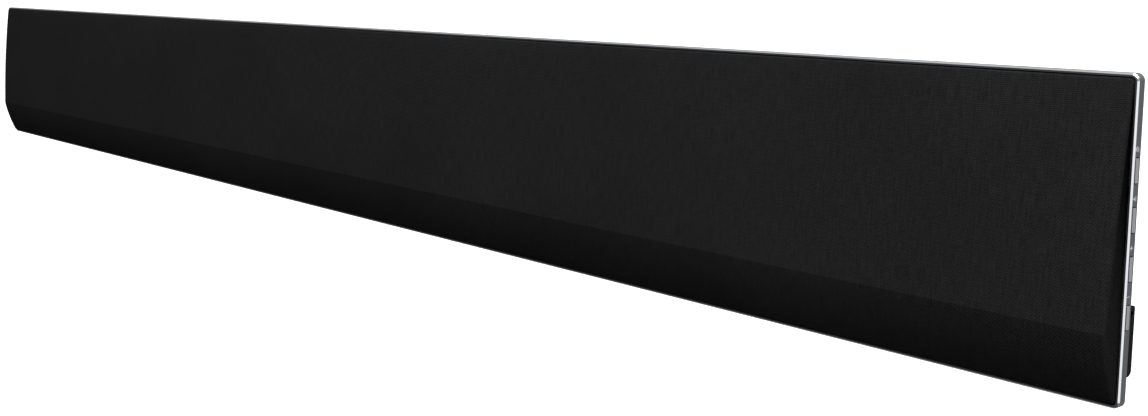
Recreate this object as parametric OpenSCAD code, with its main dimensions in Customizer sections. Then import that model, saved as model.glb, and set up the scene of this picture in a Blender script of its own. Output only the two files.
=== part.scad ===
// Wall-hung soundbar with a wedge-shaped cloth front in a thin metal frame.
// X runs along the bar, to the right as seen from the front. Y points into the wall, Z is up.
// The origin is midway between the round ends of the two keyholes, on the wall's face.
// Inside the modules, heights are measured from the bottom edge of the bar.

/* [Overall] */
// Length of the bar
bar_length = 1443; // [1400:1:1800]
// Height of the bar
bar_height = 146; // [140:1:180]
// How far the crease stands ahead of the frame
crease_out = 11.8; // [11.2:0.1:15]
// Depth of the housing behind the frame
housing_depth = 11.4; // [11.4:0.1:16]
// Gap between the housing and the wall
wall_gap = 3; // [2.5:0.1:8]

/* [Frame] */
// Depth of the metal band, front to back
frame_depth = 4.8; // [4.6:0.1:6]
// Thickness of the metal band
frame_wall = 1.5; // [1.2:0.1:1.8]
// Outer corner radius of the band
frame_corner_r = 3.5; // [2.5:0.1:6]
// Bright bevel on the front outer edge
frame_bevel = 0.7; // [0.3:0.1:1]
// Width of the inner ledge at the back of the band
ledge_width = 2; // [1.5:0.1:2.2]
// Thickness of that ledge
ledge_thickness = 1; // [0.8:0.1:1.4]

/* [Grille] */
// Height of the crease above the bottom edge
crease_height = 34.8; // [30:0.1:45]
// How far the cloth stands ahead of the frame at its top and bottom edges
edge_out = 1.4; // [1:0.1:2]
// Swell of the upper face
upper_bulge = 1.3; // [0.5:0.1:2]
// Swell of the lower face
lower_bulge = 1.2; // [0.5:0.1:2]
// Thickness of the cloth
fabric_thickness = 0.7; // [0.4:0.1:1]
// Thickness of the moulded carrier under the cloth
grille_wall = 1.8; // [1.2:0.1:2]
// Shadow gap between the cloth and the band
grille_gap = 0.6; // [0.4:0.1:1]
// Depth that the cloth's edge sinks behind the frame's front
grille_tuck = 0.6; // [0.3:0.1:0.9]
// Number of windows along the carrier
window_count = 14; // [10:1:18]
// Width of the ribs between the windows
rib_width = 8; // [5:1:14]
// Depth of the ribs
rib_depth = 3; // [2:0.5:4]
// Radius of the pegs that locate the carrier
peg_r = 2; // [1.5:0.1:3]

/* [Housing] */
// Wall thickness of the rear shell
housing_wall = 2; // [1.6:0.1:2.4]
// Thickness of the shell's flange
flange_thickness = 2; // [1.8:0.1:2.4]
// Distance from the bar's end to the shell's side
shell_end_inset = 31.5; // [28:0.5:40]
// Distance from the bar's bottom to the shell
shell_bottom_inset = 8; // [7.7:0.1:10]
// Distance from the bar's top to the shell
shell_top_inset = 18; // [17:0.5:24]
// Corner radius of the shell
shell_corner_r = 8; // [5:0.5:12]
// Bevel round the back of the shell
shell_bevel = 2; // [1:0.1:2.2]

/* [Drivers] */
// Radius of a woofer's mounting flange
woofer_r = 33; // [30:0.5:40]
// Stroke of a cone each way
cone_stroke = 1.5; // [0.5:0.1:1.5]
// Radius of a tweeter's face plate
tweeter_r = 18; // [14:0.5:20]
// Space between the edges of neighbouring drivers
driver_gap = 11; // [4:0.5:12]
// Height of the drivers' centres above the bottom edge
driver_z = 64; // [60:1:70]
// Distance from the bar's end to the centre of a side channel
channel_inset = 251.5; // [240:1:260]
// Thickness of the baffle
baffle_thickness = 2; // [1.6:0.1:2.2]

/* [Keys] */
// Height of the lowest key's centre above the bottom edge
key_first_z = 40.9; // [40:0.1:46]
// Distance between key centres
key_pitch = 21.3; // [18:0.1:24]
// Length of a key along the band
key_length = 10.7; // [8:0.1:14]
// Width of a key across the band
key_width = 2.4; // [1.8:0.1:2.6]
// Travel of a key
key_travel = 0.4; // [0.2:0.05:0.5]
// How far a key stands out of the band
key_proud = 0.35; // [0.1:0.05:0.5]

/* [Cable bay] */
// Width of the bay
bay_width = 220; // [200:1:224]
// Height of the bay's roof above the bottom edge
bay_top = 46; // [44:1:50]

/* [Wall fittings] */
// Distance between the two keyholes
hang_spacing = 1200; // [1170:1:1250]
// Distance from the top of the bar down to the round ends of the keyholes
hang_drop = 46; // [46:1:50]
// Radius of a keyhole's round end
keyhole_r = 4.75; // [4:0.05:5]
// Width of a keyhole's slot
keyhole_slot = 5; // [4:0.1:6]
// Height from the round end to the top seat of the slot
keyhole_rise = 10; // [8:0.5:11]
// Distance from the bar's end to the wall spacer
spacer_inset = 5.7; // [5:0.1:8]
// Width of a wall spacer
spacer_width = 21; // [19:0.5:22]
// Height of a wall spacer
spacer_height = 32.2; // [29:0.1:36]
// Height of a spacer's foot above the bottom edge
spacer_z = 10.9; // [10:0.1:13]
// Thickness of the rubber pad
pad_thickness = 1; // [0.8:0.1:1.5]

/* [Hidden] */
$fn = 64;
cut = 1;                     // overshoot of cutting shapes
fit = 0.2;                   // gap round a located piece
slip = 0.25;                 // gap round a moving key
key_count = 4;
woofer_count = 6;
tweeter_count = 3;

half_length = bar_length / 2;
y_shell = -wall_gap;
y_back = y_shell - housing_depth;
y_front = y_back - frame_depth;
y_flange = y_back - ledge_thickness;
y_flange_front = y_flange - flange_thickness;
y_baffle = y_flange_front - baffle_thickness;
y_shell_in = y_shell - housing_wall;
hang_z = bar_height - hang_drop;

// Grille
grille_half = half_length - frame_wall - grille_gap;
grille_low = frame_wall + grille_gap;
grille_high = bar_height - frame_wall - grille_gap;
lower_slope = (crease_out - edge_out) / (crease_height - grille_low);
upper_slope = (crease_out - edge_out) / (grille_high - crease_height);
grille_corner_r = frame_corner_r - frame_wall - 0.4;
face_points = 10;
window_pitch = 2 * (grille_half - 8) / window_count;
window_edge = 8;             // solid border above, below and beside the windows
peg_rows = [18, bar_height - 34];

// Shell and baffle
flange_gap = 0.25;
flange_length = bar_length - 2 * (frame_wall + flange_gap);
flange_height = bar_height - 2 * (frame_wall + flange_gap);
flange_corner_r = 1.5;
shell_half = half_length - shell_end_inset;
shell_low = shell_bottom_inset;
shell_high = bar_height - shell_top_inset;
baffle_half = shell_half + 4;
baffle_low = shell_low - 2;
baffle_high = shell_high + 1;
boss_r = 3.2;
boss_rows = [shell_low + 6.5, shell_high - 7];
channel_x = half_length - channel_inset;
woofer_step = woofer_r + tweeter_r + driver_gap;
boss_columns = [for (s = [-1, 1], x = [shell_half - 20, channel_x + woofer_step + 8,
                channel_x - woofer_step - 3, woofer_step + 48]) s * x];
screw_hole_r = 1.25;
baffle_screw_depth = 9.5;
baffle_head_r = 2.6;
baffle_head_h = 1.2;

// Frame tabs, screwed to the flange from behind
tab_width = 10;
tab_reach = 7.4;
tab_columns = [for (i = [-5:2:5]) i * half_length / 6];
tab_screw_z = 5.1;
tab_screw_r = 1.05;

// Drivers
channel_centres = [-channel_x, 0, channel_x];
woofer_x = [for (c = channel_centres, s = [-1, 1]) c + s * woofer_step];
woofer_cup_r = woofer_r - 3.5;
cone_r = woofer_r - 9.9;
magnet_r = 19;
magnet_hole_r = 10.7;
coil_r = 10;
driver_plate = 1.5;
floor_s = 7.8;               // how far the basket's floor lies behind the baffle's front
magnet_s = 9;
magnet_back_s = 14;
tweeter_cup_r = 14;
driver_hole_r = 1.1;
cup_wall = 1.2;              // wall of a woofer's basket
spider_r = woofer_cup_r - cup_wall - 0.1;
woofer_screw_r = woofer_r - 2;
tweeter_screw_r = tweeter_r - 2;

// Keys and their board
key_centres = [for (i = [0:key_count - 1]) key_first_z + i * key_pitch];
key_y = y_flange - 1.6;
key_catch = 1.25;            // how far a key's catch reaches past its cap at each end
key_end_gap = 0.45;
catch_thickness = 1.1;
catch_x = half_length - frame_wall - 0.3;
key_pocket_floor = 0.6;
key_board_thickness = 0.8;
key_board_y = y_flange - key_pocket_floor;
key_board_low = key_first_z - 9;
key_board_high = key_centres[key_count - 1] + 9;
key_board_x = half_length - 13;
switch_x = half_length - 8.1;
plunger_x = switch_x + 0.8;
stem_gap = key_travel + 0.05;
pocket_x = key_board_x - 5;
notch_x = catch_x - catch_thickness - key_travel - 0.3;

// Cable bay
bay_x = channel_x / 2;
bay_half = bay_width / 2;
bay_skin = 1.2;
bay_wall = 2;
panel_thickness = 2;
bay_front = y_flange_front + bay_skin;
seam_x = bay_x + bay_half + bay_wall + 3.5;
seam_gap = 0.1;              // between neighbouring lengths of the rear housing
side_start = seam_x + seam_gap / 2;
centre_end = seam_x - seam_gap / 2;
board_front = -14.8;
board_thickness = 1.6;
board_back = board_front + board_thickness;
socket_z = bay_top + 0.2;
dc_x = bay_x - 85;
optical_x = bay_x - 50;
av_in_x = bay_x - 10;
av_out_x = bay_x + 30;
usb_x = bay_x + 70;
av_size = [15, 5.6, 12];
usb_size = [13.1, 5.7, 14];
optical_size = [9.7, 7.8, 13];
dc_size = [9, 7.8, 12];
board_half = 105;
board_boss_r = 3;
board_screw_depth = 6;
board_hole_in = 5;           // from a board's edge to its corner holes
vent_side_count = 9;         // slots on each side of the middle one
vent_pitch = 9;
vent_width = 3.2;
vent_reach = 26;
vent_top = 8;
board_low = bay_top + panel_thickness + 2;
board_high = shell_high - 8;

// Wall fittings
plate_thickness = 1.5;
plate_sink = 0.9;            // depth of the seats for the plate screws' heads
plate_width = 48;
plate_low = hang_z - 17;
plate_high = hang_z + 24;
plate_height = plate_high - plate_low;
plate_screw_depth = 9;
plate_screws = [for (x = [-20.6, 20.6], z = [-9.5, 16]) [x, z]];
plate_boss_r = 3;
window_half = 17.2;          // opening in the housing behind a hang plate
window_border = 2;           // from that opening to the plate's upper and lower edges
rating_width = 90;
rating_low = 28;
rating_high = 58;
pocket_depth = 8;
pocket_wall = 1.5;
pocket_half = keyhole_r + 2;
pocket_low = hang_z - pocket_half;
pocket_high = hang_z + keyhole_rise + 4.5;
pocket_floor = -plate_thickness - pocket_depth;
spacer_x = half_length - spacer_inset - spacer_width / 2;
spacer_back = -pad_thickness;
pad_width = 9;
pad_height = spacer_height - 8.4;
pad_seat = 0.5;              // depth of the pad's seat in the spacer
pad_shift = spacer_width / 2 - 6;
spacer_screws = [for (z = [6.6, spacer_height - 6.1]) [4.6 - spacer_width / 2, z]];
spacer_top_r = 1.2;
spacer_foot_r = 3;
spacer_eye_r = 1.6;          // blind locating hole in a spacer's outer side
spacer_eye_depth = 4;
spacer_eye_y = -3.6;
spacer_eye_drop = 3.9;
spacer_boss_depth = 3;
rear_screw_r = 1.5;
rear_head_r = 2.7;

WOOFERS = [for (i = [1:woofer_count], part = ["basket", "magnet", "cone", "suspension"])
           str("woofer_", i, "_", part)];
TWEETERS = [for (i = [1:tweeter_count], part = ["body", "dome"]) str("tweeter_", i, "_", part)];

// ---- Placing and shared shapes ----

// Heights inside the modules count from the bar's bottom edge
module from_bottom() translate([0, 0, -hang_z]) children();

// Cylinders at [x, height] points that start at depth y and grow towards the front
module pins(points, y, length, radius) {
    for (p = points) translate([p[0], y, p[1]]) rotate([90, 0, 0]) cylinder(h = length, r = radius);
}

// Draws in the X-Z plane at depth y and grows towards the front
module forward_from(y) translate([0, y, 0]) rotate([90, 0, 0]) children();

// Draws in the X-Z plane at depth y and grows towards the wall, with heights turned over
module backward_from(y) translate([0, y, 0]) rotate([-90, 0, 0]) children();

// A box from its two opposite corners
module span(low, high) translate(low) cube(high - low);

module rounded(w, h, r) {
    square([w - 2 * r, h], center = true);
    square([w, h - 2 * r], center = true);
    for (x = [-1, 1], y = [-1, 1])
        translate([x * (w / 2 - r), y * (h / 2 - r)]) circle(r);
}

function bevel_section(size, c) = [[-size / 2, 0], [size / 2, 0], [size / 2 - c, c], [c - size / 2, c]];

// Flat rounded plate whose far edge is bevelled all round
module bevel_plate(w, h, t, r, c) {
    linear_extrude(t - c) rounded(w, h, r);
    translate([0, 0, t - c]) {
        for (x = [-1, 1], y = [-1, 1])
            translate([x * (w / 2 - r), y * (h / 2 - r), 0]) cylinder(h = c, r1 = r, r2 = r - c);
        rotate([90, 0, 90]) linear_extrude(w - 2 * r, center = true) polygon(bevel_section(h, c));
        rotate([90, 0, 0]) linear_extrude(h - 2 * r, center = true) polygon(bevel_section(w, c));
    }
}

// Screw with its head's underside at the origin, shank along +Z
module screw(head_r, head_h, shank_r, shank_l) {
    difference() {
        translate([0, 0, -head_h]) cylinder(h = head_h, r = head_r);
        translate([0, 0, -head_h - cut])
            for (a = [0, 90]) rotate(a)
                cube([head_r * 1.2, head_r * 0.3, 2 * (cut + head_h * 0.5)], center = true);
    }
    cylinder(h = shank_l, r = shank_r);
}

// ---- Frame ----

module frame_tabs() {
    for (x = tab_columns, top = [0, 1])
        translate([x, y_back - ledge_thickness, top * bar_height])
            mirror([0, 0, top])
                translate([-tab_width / 2, 0, frame_wall / 2])
                    cube([tab_width, ledge_thickness, tab_reach - frame_wall / 2]);
}

// Screw places on the tabs: [x, height]
function tab_points() = [for (x = tab_columns, z = [tab_screw_z, bar_height - tab_screw_z]) [x, z]];

module front_frame() {
    color([0.62, 0.63, 0.66]) from_bottom() difference() {
        union() {
            difference() {
                forward_from(y_back) translate([0, bar_height / 2, 0])
                    bevel_plate(bar_length, bar_height, frame_depth, frame_corner_r, frame_bevel);
                forward_from(y_back + cut) translate([0, bar_height / 2, 0])
                    linear_extrude(frame_depth + 2 * cut)
                        rounded(bar_length - 2 * (frame_wall + ledge_width),
                                bar_height - 2 * (frame_wall + ledge_width), flange_corner_r);
                forward_from(y_back - ledge_thickness) translate([0, bar_height / 2, 0])
                    linear_extrude(frame_depth)
                        rounded(bar_length - 2 * frame_wall, bar_height - 2 * frame_wall,
                                frame_corner_r - frame_wall);
            }
            frame_tabs();
        }
        pins(tab_points(), y_back + cut, ledge_thickness + 2 * cut, tab_screw_r);
        for (z = key_centres)
            translate([half_length, key_y, z])
                cube([2 * frame_wall + 2 * fit, key_width + 2 * slip, key_length + 2 * key_end_gap],
                     center = true);
    }
}

// ---- Grille ----

// Points [height, distance ahead of the frame] of a gently swollen face
function swollen(a, b, swell) = [for (i = [0:face_points]) let (t = i / face_points)
    [a[0] + (b[0] - a[0]) * t, a[1] + (b[1] - a[1]) * t + 4 * swell * t * (1 - t)]];

// Wedge outline, moved inwards by inset, with its open back at back_out behind the frame's front
function wedge(inset, back_out) =
    let (lower_shift = inset * sqrt(1 + lower_slope * lower_slope),
         upper_shift = inset * sqrt(1 + upper_slope * upper_slope),
         dz = (lower_shift - upper_shift) / (lower_slope + upper_slope),
         low = [grille_low + inset, edge_out + lower_slope * inset - lower_shift],
         crease = [crease_height + dz, crease_out - upper_shift - upper_slope * dz],
         high = [grille_high - inset, edge_out + upper_slope * inset - upper_shift],
         upper = swollen(crease, high, upper_bulge))
    concat([[low[0], -back_out]], swollen(low, crease, lower_bulge),
           [for (i = [1:face_points]) upper[i]], [[high[0], -back_out]]);

module wedge_solid(inset, back_out) {
    intersection() {
        rotate([90, 0, 90]) linear_extrude(2 * (grille_half - inset), center = true)
            polygon([for (q = wedge(inset, back_out)) [y_front - q[1], q[0]]]);
        forward_from(0) translate([0, bar_height / 2, 0]) linear_extrude(cut - y_front + crease_out)
            rounded(2 * (grille_half - inset), grille_high - grille_low - 2 * inset,
                    max(grille_corner_r - inset, 0.2));
    }
}

module grille_fabric() {
    color([0.13, 0.13, 0.14]) from_bottom() difference() {
        wedge_solid(0, grille_tuck);
        wedge_solid(fabric_thickness, grille_tuck + cut);
    }
}

carrier_in = fabric_thickness + grille_wall;
rib_in = carrier_in + rib_depth;
window_centres = [for (i = [0:window_count - 1]) (i - (window_count - 1) / 2) * window_pitch];
rib_centres = [for (i = [1:window_count - 1]) (i - window_count / 2) * window_pitch];
peg_centres = [for (i = [0:3:window_count - 2]) rib_centres[i]];

module grille_ribs() {
    difference() {
        intersection() {
            wedge_solid(carrier_in - cut, grille_tuck);
            for (x = rib_centres)
                span([x - rib_width / 2, y_front - crease_out, 0],
                     [x + rib_width / 2, y_baffle - 0.8, bar_height]);
        }
        wedge_solid(rib_in, grille_tuck + cut);
        pins(boss_points(), y_baffle, baffle_head_h + 1, baffle_head_r + 0.5);
        pins([for (x = woofer_x) [x, driver_z]], y_baffle, driver_plate + cone_stroke + 1,
             woofer_r + 0.5);
    }
}

module grille_pegs() {
    intersection() {
        pins([for (x = peg_centres, z = peg_rows) [x, z]],
             y_baffle + baffle_thickness - 0.2, crease_out + 10, peg_r);
        wedge_solid(carrier_in - cut, 6);
    }
}

module grille_windows() {
    width = window_pitch - rib_width;
    for (x = window_centres) {
        span([x - width / 2, y_front - crease_out - cut, crease_height + window_edge],
             [x + width / 2, y_front, grille_high - 2 * window_edge]);
        span([x - width / 2, y_front - crease_out - cut, grille_low + window_edge],
             [x + width / 2, y_front, crease_height - 6]);
    }
}

module grille_frame() {
    color([0.10, 0.10, 0.11]) from_bottom() {
        difference() {
            wedge_solid(fabric_thickness, grille_tuck);
            wedge_solid(carrier_in, grille_tuck + cut);
            grille_windows();
        }
        grille_ribs();
        grille_pegs();
    }
}

// ---- Baffle and rear housing ----

function boss_points() = [for (x = boss_columns, z = boss_rows) [x, z]];

// Screw places round a driver: count on radius r, turned to miss the axes
function ring(x, r, count) = [for (i = [0:count - 1]) let (a = (i + 0.5) * 360 / count)
    [x + r * cos(a), driver_z + r * sin(a)]];
function driver_screw_points() = concat(
    [for (x = woofer_x) each ring(x, woofer_screw_r, 4)],
    [for (x = channel_centres) each ring(x, tweeter_screw_r, 2)]);

module baffle() {
    color([0.08, 0.08, 0.09]) from_bottom() difference() {
        span([-baffle_half, y_baffle, baffle_low], [baffle_half, y_flange_front, baffle_high]);
        forward_from(y_flange_front + cut) linear_extrude(baffle_thickness + 2 * cut) {
            for (x = woofer_x) translate([x, driver_z]) circle(woofer_cup_r + fit);
            for (x = channel_centres) translate([x, driver_z]) circle(tweeter_cup_r + fit);
            for (p = driver_screw_points()) translate(p) circle(0.9);
            for (p = boss_points()) translate(p) circle(screw_hole_r + 0.2);
            for (x = peg_centres, z = peg_rows) translate([x, z]) circle(peg_r + fit);
        }
    }
}

module shell_outer() {
    translate([0, 0, (shell_low + shell_high) / 2]) backward_from(y_flange)
        bevel_plate(2 * shell_half, shell_high - shell_low, y_shell - y_flange, shell_corner_r,
                    shell_bevel);
}

module flange() {
    forward_from(y_flange) translate([0, bar_height / 2, 0])
        linear_extrude(flange_thickness) rounded(flange_length, flange_height, flange_corner_r);
}

module shell_hollow() {
    span([housing_wall - shell_half, y_flange_front - cut, shell_low + housing_wall],
         [shell_half - housing_wall, y_shell_in, shell_high - housing_wall]);
}

module bay_block() {
    span([bay_x - bay_half - bay_wall, y_flange_front, shell_low],
         [bay_x + bay_half + bay_wall, y_shell, bay_top + panel_thickness + fit]);
}

module bay_void() {
    span([bay_x - bay_half, bay_front, shell_low - 0.3],
         [bay_x + bay_half, y_shell + cut, bay_top + panel_thickness + fit + cut]);
}

// Raised seat for a hang plate, with bosses for its screws
module hang_seat() {
    translate([0, 0, (plate_low + plate_high) / 2]) backward_from(y_shell - cut)
        bevel_plate(plate_width + 4, plate_height + 4, cut + wall_gap - plate_thickness, 3, 0.8);
    pins(plate_points(), y_shell_in + cut, y_shell_in + cut - pocket_floor + pocket_wall, plate_boss_r);
}

module hang_window() {
    span([-window_half, y_shell_in - cut, plate_low + window_border],
         [window_half, cut, plate_high - window_border]);
    pins(plate_points(), cut, plate_screw_depth + cut, screw_hole_r + 0.1);
}

// Screw places on a hang plate: [x from its middle, height]
function plate_points() = [for (p = plate_screws) [p[0], hang_z + p[1]]];

function board_corners(x) = [for (sx = [-1, 1], z = [board_low + board_hole_in, board_high - board_hole_in])
    [x + sx * (board_half - board_hole_in), z]];

module vents(x) {
    for (i = [-vent_side_count:vent_side_count])
        span([x + i * vent_pitch - vent_width / 2, y_shell_in - cut, board_high - vent_reach],
             [x + i * vent_pitch + vent_width / 2, y_shell + cut, board_high - vent_top]);
}

// Screw places on a wall spacer: [x, height]
function spacer_points(side) = [for (p = spacer_screws) [side * (spacer_x + p[0]), spacer_z + p[1]]];

module spacer_bosses(side) {
    pins(spacer_points(side), y_flange - cut, flange_thickness + spacer_boss_depth - cut, 3);
}

module housing_shell() {
    difference() {
        union() {
            difference() {
                union() {
                    flange();
                    shell_outer();
                }
                shell_hollow();
            }
            bay_block();
            pins(boss_points(), y_shell_in + cut, y_shell_in + cut - y_flange_front, boss_r);
            for (x = [-bay_x, bay_x])
                pins(board_corners(x), y_shell_in + cut, y_shell_in + cut - board_back, board_boss_r);
            for (s = [-1, 1]) {
                translate([s * hang_spacing / 2, 0, 0]) hang_seat();
                spacer_bosses(s);
            }
        }
        bay_void();
        pins(boss_points(), y_flange_front + baffle_screw_depth, baffle_screw_depth + cut, screw_hole_r);
        for (x = [-bay_x, bay_x])
            pins(board_corners(x), board_back + board_screw_depth, board_screw_depth + cut, screw_hole_r);
        for (s = [-1, 1]) {
            translate([s * hang_spacing / 2, 0, 0]) hang_window();
            pins(spacer_points(s), y_flange + cut, 5.2, screw_hole_r + 0.1);
            vents(s * bay_x);
        }
        pins(tab_points(), y_flange + cut, flange_thickness + 2 * cut, tab_screw_r);
        // Plain recess for a rating plate
        span([-bay_x - rating_width / 2, y_shell - 0.4, rating_low],
             [-bay_x + rating_width / 2, y_shell + cut, rating_high]);
        key_pocket();
    }
}

// The shell is moulded in three lengths that meet at two seams
module rear_housing(low_x, high_x) {
    color([0.09, 0.09, 0.10]) from_bottom() intersection() {
        housing_shell();
        span([low_x, y_flange_front - cut, -cut], [high_x, cut, bar_height + cut]);
    }
}

// Room behind the keys: a shallow pocket for their board and a notch for the key catches
module key_pocket() {
    span([pocket_x, y_flange_front - cut, key_board_low - 1],
         [half_length, key_board_y, key_board_high + 1]);
    span([notch_x, y_flange_front - cut, key_board_low - 1],
         [half_length, y_back, key_board_high + 1]);
}

// ---- Cable bay: port panel and sockets ----

SOCKETS = [[dc_x, dc_size], [optical_x, optical_size], [av_in_x, av_size], [av_out_x, av_size],
           [usb_x, usb_size]];

module port_panel() {
    color([0.12, 0.12, 0.13]) from_bottom() difference() {
        span([bay_x - bay_half + fit, bay_front + fit, bay_top],
             [bay_x + bay_half - fit, y_shell - fit, bay_top + panel_thickness]);
        for (s = SOCKETS)
            span([s[0] - s[1][0] / 2 - fit, board_back - fit, bay_top - cut],
                 [s[0] + s[1][0] / 2 + fit, board_back + s[1][1] + fit, bay_top + panel_thickness + cut]);
    }
}

// Metal shell soldered to the board, open downwards into the bay
module socket_shell(x, size, wall, depth) {
    translate([x - size[0] / 2, board_back, socket_z]) difference() {
        cube(size);
        translate([wall, wall, -cut]) cube([size[0] - 2 * wall, size[1] - 2 * wall, depth + cut]);
    }
}

// Contact tongue inside a socket
module socket_tongue(x, width, thickness, depth, middle) {
    translate([x - width / 2, board_back + middle - thickness / 2, socket_z + 1])
        cube([width, thickness, depth]);
}

module av_sockets() {
    color([0.72, 0.72, 0.74]) from_bottom() for (x = [av_in_x, av_out_x]) {
        socket_shell(x, av_size, 0.5, 10);
        socket_tongue(x, 11, 0.8, 10, av_size[1] / 2 + 0.7);
    }
}

module usb_socket() {
    color([0.72, 0.72, 0.74]) from_bottom() {
        socket_shell(usb_x, usb_size, 0.5, 12);
        socket_tongue(usb_x, 11, 1.8, 12, usb_size[1] / 2 - 1);
    }
}

module optical_socket() {
    color([0.10, 0.10, 0.10]) from_bottom() socket_shell(optical_x, optical_size, 1.4, 8);
}

module dc_inlet() {
    color([0.10, 0.10, 0.10]) from_bottom() {
        difference() {
            translate([dc_x - dc_size[0] / 2, board_back, socket_z]) cube(dc_size);
            translate([dc_x, board_back + dc_size[1] / 2, socket_z - cut]) cylinder(h = 9 + cut, r = 2.8);
        }
        translate([dc_x, board_back + dc_size[1] / 2, socket_z + 1.5]) cylinder(h = 8.5, r = 1);
    }
}

// ---- Electronics ----

module circuit_board(x) {
    difference() {
        span([x - board_half, board_front, board_low], [x + board_half, board_back, board_high]);
        pins(board_corners(x), board_back + cut, board_thickness + 2 * cut, 1.6);
    }
}

// Part on the wall side of a board: centre, bottom height and size
module on_board(x, z, size) {
    translate([x - size[0] / 2, board_back - 0.1, z]) cube([size[0], size[1] + 0.1, size[2]]);
}

module main_board() {
    color([0.05, 0.22, 0.12]) from_bottom() {
        circuit_board(bay_x);
        on_board(bay_x + 20, board_low + 22, [22, 1.6, 22]);
        on_board(bay_x - 25, board_low + 26, [14, 1.2, 10]);
        on_board(bay_x - 62, board_low + 24, [8, 5, 8]);
        on_board(bay_x - 76, board_low + 24, [8, 5, 8]);
    }
}

module wireless_module() {
    color([0.70, 0.70, 0.72]) from_bottom()
        span([bay_x + 55, board_back, board_low + 26], [bay_x + 81, board_back + 2.4, board_low + 44]);
}

module amplifier_board() {
    color([0.05, 0.22, 0.12]) from_bottom() {
        circuit_board(-bay_x);
        for (i = [0:4]) on_board(-bay_x - 70 + i * 16, board_low + 8, [10, 6, 10]);
        on_board(-bay_x + 45, board_low + 12, [50, 2, 36]);
        for (i = [0:7]) on_board(-bay_x + 23 + i * 6.2, board_low + 12, [1.6, 7.2, 36]);
    }
}

module display_board() {
    color([0.05, 0.05, 0.06]) from_bottom() {
        span([bay_x - 32, y_baffle - 1.2, 82], [bay_x + 32, y_baffle, 98]);
        span([bay_x - 24, y_baffle - 3.4, 85], [bay_x + 20, y_baffle - 1, 95]);
        forward_from(y_baffle - 1) translate([bay_x + 26, 90, 0]) cylinder(h = 2.2, r = 2.4);
    }
}

module key_board() {
    color([0.05, 0.22, 0.12]) from_bottom() {
        span([key_board_x - 4, key_board_y - key_board_thickness, key_board_low],
             [switch_x + 0.2, key_board_y, key_board_high]);
        for (z = key_centres) {
            span([switch_x - 4.2, key_board_y - key_board_thickness - 1.8, z - 2.3],
                 [switch_x, key_board_y - key_board_thickness + 0.1, z + 2.3]);
            span([switch_x - 0.2, key_board_y - key_board_thickness - 1.4, z - 1],
                 [plunger_x, key_board_y - key_board_thickness - 0.4, z + 1]);
        }
    }
}

module key(i) {
    color([0.70, 0.71, 0.73]) from_bottom() translate([0, key_y, key_centres[i]]) {
        translate([catch_x - 0.2, 0, 0]) rotate([90, 0, 90])
            linear_extrude(half_length + key_proud - catch_x + 0.2) rounded(key_width, key_length, 0.45);
        translate([catch_x - catch_thickness, -key_width / 2, -key_length / 2 - key_catch])
            cube([catch_thickness, key_width, key_length + 2 * key_catch]);
        translate([plunger_x + stem_gap, -key_width / 2, -1.5])
            cube([catch_x - plunger_x - stem_gap - 0.1, key_width - 0.8, 3]);
    }
}

// ---- Drivers: profiles are [radius, distance behind the baffle's front] ----

module driver_turn(x, profile) {
    from_bottom() translate([x, y_baffle, driver_z]) rotate([-90, 0, 0]) rotate_extrude() polygon(profile);
}

// Arc of n steps from a to b that rises by h towards the front
function crown(a, b, h, n) = [for (i = [0:n]) let (t = i / n)
    [a[0] + (b[0] - a[0]) * t, a[1] + (b[1] - a[1]) * t - h * (1 - pow(2 * t - 1, 2))]];

module woofer_basket(x) {
    color([0.16, 0.16, 0.17]) difference() {
        driver_turn(x, [[woofer_r, -driver_plate], [woofer_r, 0], [woofer_cup_r, 0],
                        [woofer_cup_r, magnet_s], [magnet_hole_r + 0.5, magnet_s],
                        [magnet_hole_r + 0.5, floor_s], [woofer_cup_r - cup_wall, floor_s],
                        [woofer_cup_r - cup_wall, 0.8], [cone_r + 4.2, 0.8], [cone_r + 4.2, 0],
                        [woofer_cup_r - cup_wall, 0], [woofer_cup_r - cup_wall, -driver_plate]]);
        from_bottom() {
            pins(ring(x, woofer_screw_r, 4), y_baffle + cut, driver_plate + 2 * cut, driver_hole_r);
            pins(ring(x, woofer_cup_r - 6, 6), y_baffle + magnet_s + cut, cup_wall + 2 * cut, 3);
        }
    }
}

module woofer_magnet(x) {
    color([0.55, 0.55, 0.57])
        driver_turn(x, [[0, magnet_s - 0.4], [coil_r - 1, magnet_s - 0.4],
                        [coil_r - 1, magnet_back_s - 1.2],
                        [magnet_hole_r, magnet_back_s - 1.2], [magnet_hole_r, magnet_s],
                        [magnet_r, magnet_s], [magnet_r, magnet_back_s], [0, magnet_back_s]]);
}

module woofer_cone(x) {
    color([0.20, 0.20, 0.21])
        driver_turn(x, concat(crown([0, 4.9], [coil_r + 0.6, 4.9], 0, 1),
            [[cone_r, 0], [cone_r, 0.7], [coil_r + 1, 5.9], [coil_r, 6.2], [coil_r, 10.8],
             [coil_r - 0.4, 10.8], [coil_r - 0.4, 5.6], [0, 5.6]]));
}

module woofer_suspension(x) {
    color([0.07, 0.07, 0.07]) {
        // Foam surround: a half roll between the cone's edge and the basket
        driver_turn(x, concat([[cone_r - 1.6, 0], [cone_r - 1.6, -0.5]],
            crown([cone_r, -0.5], [cone_r + 4.3, -0.5], cone_stroke + 0.2, 8),
            [[woofer_cup_r - 1.3, -0.5], [woofer_cup_r - 1.3, 0], [cone_r + 4.3, 0]],
            crown([cone_r + 4, 0], [cone_r + 0.3, 0], cone_stroke, 8)));
        // Spider: flat ring that centres the voice coil
        driver_turn(x, [[coil_r, 6.6], [spider_r, 6.6], [spider_r, 7], [coil_r, 7]]);
    }
}

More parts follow.
